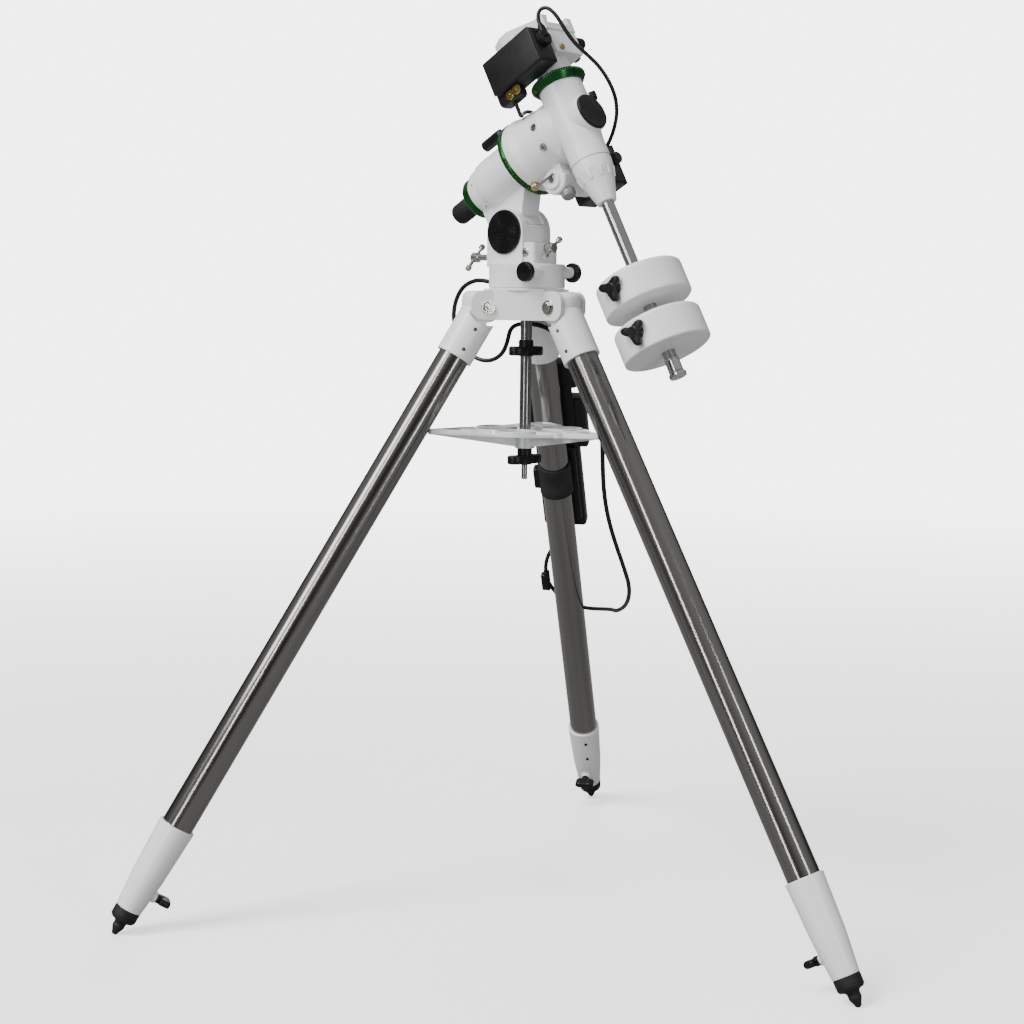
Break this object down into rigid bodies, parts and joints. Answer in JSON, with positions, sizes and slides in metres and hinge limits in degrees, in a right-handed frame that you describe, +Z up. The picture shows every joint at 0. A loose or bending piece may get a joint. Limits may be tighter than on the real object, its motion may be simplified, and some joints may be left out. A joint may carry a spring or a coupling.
{
  "type": "equatorial telescope mount on a tripod",
  "caption": "Motorised German equatorial telescope mount with sliding counterweights on a folding steel-tube tripod with a spreader tray and a hand controller.",
  "frame": {"origin": "on the floor, under the middle of the box round the object without its cords", "axes": "+Z up, +Y north (the side the polar axis points to), +X east"},
  "size_m": [1.0057, 0.876, 1.2624],
  "materials": {
    "white_paint": "semi-gloss powder coat",
    "white_iron": "semi-gloss powder coat",
    "stainless": "polished tube",
    "chrome": "polished",
    "cast_tray": "cast, silver paint",
    "green_ring": "green anodised",
    "black_metal": "black, turned",
    "black_plastic": "satin moulded",
    "rubber": "matte",
    "brass": "turned"
  },
  "bodies": {
    "tripod": {"tripod_hub": "white_iron", "hub_bolts": "chrome", "cord_gland": "black_plastic", "centre_rod": "chrome", "controller_cord": "rubber"},
    "north_leg": {"north_leg_head": "white_paint", "north_leg_tube": "stainless", "north_leg_clamp": "white_paint"},
    "north_foot": {"north_inner_leg": "stainless"},
    "north_lock_knob": {"north_lock_knob": "black_plastic"},
    "east_leg": {"east_leg_head": "white_paint", "east_leg_tube": "stainless", "east_leg_clamp": "white_paint"},
    "east_foot": {"east_inner_leg": "stainless"},
    "east_lock_knob": {"east_lock_knob": "black_plastic"},
    "west_leg": {"west_leg_head": "white_paint", "west_leg_tube": "stainless", "west_leg_clamp": "white_paint", "hand_controller": "black_plastic", "controller_bracket": "rubber"},
    "west_foot": {"west_inner_leg": "stainless"},
    "west_lock_knob": {"west_lock_knob": "black_plastic"},
    "rod_knob": {"rod_knob": "black_plastic"},
    "tray": {"spreader_tray": "cast_tray"},
    "tray_knob": {"tray_knob": "black_plastic"},
    "azimuth_base": {"mount_base": "white_iron", "altitude_axle": "black_metal"},
    "azimuth_knob_east": {"azimuth_knob_east": "black_plastic"},
    "azimuth_knob_west": {"azimuth_knob_west": "black_plastic"},
    "north_altitude_bolt": {"north_altitude_bolt": "chrome"},
    "south_altitude_bolt": {"south_altitude_bolt": "chrome"},
    "polar_housing": {"ra_housing": "white_paint", "ra_end_ring": "green_ring"},
    "ra_clutch_lever": {"ra_clutch_lever": "black_plastic"},
    "polar_cap": {"polar_cap": "black_plastic"},
    "ra_setting_ring": {"ra_setting_ring": "green_ring"},
    "ra_rotor": {"ra_shaft": "black_metal", "ra_drum": "white_paint", "ra_motor_box": "black_plastic", "dec_housing": "white_paint", "drum_screws": "chrome", "counterweight_shaft": "chrome", "dec_lead": "rubber", "motor_lead": "rubber"},
    "ra_clutch_screw": {"ra_clutch_screw": "brass"},
    "dec_front_cap": {"dec_front_cap": "black_plastic"},
    "dec_ring": {"dec_ring": "green_ring"},
    "dec_rotor": {"dec_head": "white_paint", "saddle": "white_paint", "dec_motor_box": "black_plastic", "dec_plug": "black_plastic"},
    "saddle_main_knob": {"saddle_main_knob": "black_plastic"},
    "saddle_small_knob": {"saddle_small_knob": "black_plastic"},
    "upper_counterweight": {"upper_counterweight": "white_iron"},
    "upper_weight_knob": {"upper_weight_knob": "black_plastic"},
    "lower_counterweight": {"lower_counterweight": "white_iron"},
    "lower_weight_knob": {"lower_weight_knob": "black_plastic"},
    "shaft_end_cap": {"shaft_end_cap": "black_metal"},
    "controller_keys": {"controller_keys": "rubber"}
  },
  "joints": [
    {"name": "north_leg_fold", "type": "hinge", "parent": "tripod", "child": "north_leg", "pos_m": [0, -0.07647, 0.855], "axis": [-1, 0, 0], "range_deg": [0, 20], "deforming": ["controller_cord"]},
    {"name": "north_leg_extension", "type": "slide", "parent": "north_leg", "child": "north_foot", "axis": [0, 0.5135, -0.8581], "range_m": [0, 0.35]},
    {"name": "north_lock_turn", "type": "hinge", "parent": "north_leg", "child": "north_lock_knob", "pos_m": [0, 0.39958, 0.05957], "axis": [0, -0.8581, -0.5135], "range_deg": [-180, 180]},
    {"name": "east_leg_fold", "type": "hinge", "parent": "tripod", "child": "east_leg", "pos_m": [0.05499, -0.17172, 0.855], "axis": [0.5, 0.866, 0], "range_deg": [0, 20], "deforming": ["controller_cord"]},
    {"name": "east_leg_extension", "type": "slide", "parent": "east_leg", "child": "east_foot", "axis": [0.4447, -0.2568, -0.8581], "range_m": [0, 0.35]},
    {"name": "east_lock_turn", "type": "hinge", "parent": "east_leg", "child": "east_lock_knob", "pos_m": [0.46727, -0.40975, 0.05957], "axis": [-0.7431, 0.429, -0.5135], "range_deg": [-180, 180]},
    {"name": "west_leg_fold", "type": "hinge", "parent": "tripod", "child": "west_leg", "pos_m": [-0.05499, -0.17172, 0.855], "axis": [0.5, -0.866, 0], "range_deg": [0, 20], "deforming": ["controller_cord"]},
    {"name": "west_leg_extension", "type": "slide", "parent": "west_leg", "child": "west_foot", "axis": [-0.4447, -0.2568, -0.8581], "range_m": [0, 0.35]},
    {"name": "west_lock_turn", "type": "hinge", "parent": "west_leg", "child": "west_lock_knob", "pos_m": [-0.46727, -0.40975, 0.05957], "axis": [0.7431, 0.429, -0.5135], "range_deg": [-180, 180]},
    {"name": "rod_knob_turn", "type": "hinge", "parent": "tripod", "child": "rod_knob", "pos_m": [0, -0.13997, 0.797], "axis": [0, 0, 1], "range_deg": [-180, 180]},
    {"name": "tray_drop", "type": "slide", "parent": "tripod", "child": "tray", "axis": [0, 0, -1], "range_m": [0, 0.367], "deforming": ["controller_cord"]},
    {"name": "tray_knob_turn", "type": "hinge", "parent": "tray", "child": "tray_knob", "pos_m": [0, -0.13997, 0.644], "axis": [0, 0, 1], "range_deg": [-180, 180]},
    {"name": "azimuth", "type": "hinge", "parent": "tripod", "child": "azimuth_base", "pos_m": [0, -0.13997, 0.9], "axis": [0, 0, 1], "range_deg": [-8, 8]},
    {"name": "azimuth_knob_east_turn", "type": "hinge", "parent": "azimuth_base", "child": "azimuth_knob_east", "pos_m": [0.049, -0.09797, 0.904], "axis": [1, 0, 0], "range_deg": [-180, 180]},
    {"name": "azimuth_knob_west_turn", "type": "hinge", "parent": "azimuth_base", "child": "azimuth_knob_west", "pos_m": [-0.049, -0.09797, 0.904], "axis": [-1, 0, 0], "range_deg": [-180, 180]},
    {"name": "north_altitude_bolt_turn", "type": "hinge", "parent": "azimuth_base", "child": "north_altitude_bolt", "pos_m": [0, -0.09297, 0.938], "axis": [0, 1, 0], "range_deg": [-60, 60]},
    {"name": "south_altitude_bolt_turn", "type": "hinge", "parent": "azimuth_base", "child": "south_altitude_bolt", "pos_m": [0, -0.24197, 0.925], "axis": [0, 1, 0], "range_deg": [-60, 60]},
    {"name": "altitude", "type": "hinge", "parent": "azimuth_base", "child": "polar_housing", "pos_m": [0, -0.15697, 0.9595], "axis": [1, 0, 0], "range_deg": [-3, 24]},
    {"name": "ra_lever_turn", "type": "hinge", "parent": "polar_housing", "child": "ra_clutch_lever", "pos_m": [0.02035, -0.16735, 1.08941], "axis": [0.4699, -0.428, 0.7721], "range_deg": [0, 40]},
    {"name": "polar_cap_pull", "type": "slide", "parent": "polar_housing", "child": "polar_cap", "axis": [0, -0.8746, -0.4848], "range_m": [0, 0.03]},
    {"name": "ra_ring_turn", "type": "hinge", "parent": "polar_housing", "child": "ra_setting_ring", "pos_m": [0, -0.13876, 1.06154], "axis": [0, 0.8746, 0.4848], "range_deg": [-180, 180]},
    {"name": "right_ascension", "type": "hinge", "parent": "polar_housing", "child": "ra_rotor", "pos_m": [0, -0.11339, 1.0756], "axis": [0, 0.8746, 0.4848], "range_deg": [-180, 180]},
    {"name": "ra_clutch_turn", "type": "hinge", "parent": "ra_rotor", "child": "ra_clutch_screw", "pos_m": [0.0254, -0.10386, 1.02127], "axis": [0.438, 0.4358, -0.7863], "range_deg": [0, 40]},
    {"name": "dec_front_cap_pull", "type": "slide", "parent": "ra_rotor", "child": "dec_front_cap", "axis": [0, 0.8746, 0.4848], "range_m": [0, 0.03]},
    {"name": "dec_ring_turn", "type": "hinge", "parent": "ra_rotor", "child": "dec_ring", "pos_m": [0, -0.08476, 1.16008], "axis": [0, -0.4848, 0.8746], "range_deg": [-180, 180]},
    {"name": "declination", "type": "hinge", "parent": "ra_rotor", "child": "dec_rotor", "pos_m": [0, -0.0993, 1.18632], "axis": [0, -0.4848, 0.8746], "range_deg": [-180, 180], "deforming": ["dec_lead", "motor_lead"]},
    {"name": "saddle_main_knob_turn", "type": "hinge", "parent": "dec_rotor", "child": "saddle_main_knob", "pos_m": [-0.045, -0.09364, 1.22147], "axis": [-1, 0, 0], "range_deg": [-180, 180]},
    {"name": "saddle_small_knob_turn", "type": "hinge", "parent": "dec_rotor", "child": "saddle_small_knob", "pos_m": [-0.045, -0.09599, 1.20302], "axis": [-1, 0, 0], "range_deg": [-180, 180]},
    {"name": "upper_counterweight_slide", "type": "slide", "parent": "ra_rotor", "child": "upper_counterweight", "axis": [0, -0.4848, 0.8746], "range_m": [-0.02, 0.105]},
    {"name": "upper_weight_knob_turn", "type": "hinge", "parent": "upper_counterweight", "child": "upper_weight_knob", "pos_m": [0.06499, 0.07074, 0.88189], "axis": [0.9998, 0.0153, 0.0085], "range_deg": [-180, 180]},
    {"name": "lower_counterweight_slide", "type": "slide", "parent": "ra_rotor", "child": "lower_counterweight", "axis": [0, -0.4848, 0.8746], "range_m": [-0.01, 0.018]},
    {"name": "lower_weight_knob_turn", "type": "hinge", "parent": "lower_counterweight", "child": "lower_weight_knob", "pos_m": [0.06452, 0.10965, 0.8257], "axis": [0.9925, 0.1066, 0.0591], "range_deg": [-180, 180]},
    {"name": "end_cap_turn", "type": "hinge", "parent": "ra_rotor", "child": "shaft_end_cap", "pos_m": [0, 0.12613, 0.77962], "axis": [0, -0.4848, 0.8746], "range_deg": [-180, 180]},
    {"name": "keys_press", "type": "slide", "parent": "west_leg", "child": "controller_keys", "axis": [0.7431, 0.429, -0.5135], "range_m": [0, 0.0013], "stiffness_N_per_m": 800, "springref_m": -0.002}
  ],
  "couplings": [
    {"joint": "east_leg_fold", "follows": "north_leg_fold", "ratio": 1},
    {"joint": "west_leg_fold", "follows": "north_leg_fold", "ratio": 1},
    {"joint": "tray_drop", "follows": "north_leg_fold", "m_per_rad": 1.05}
  ]
}
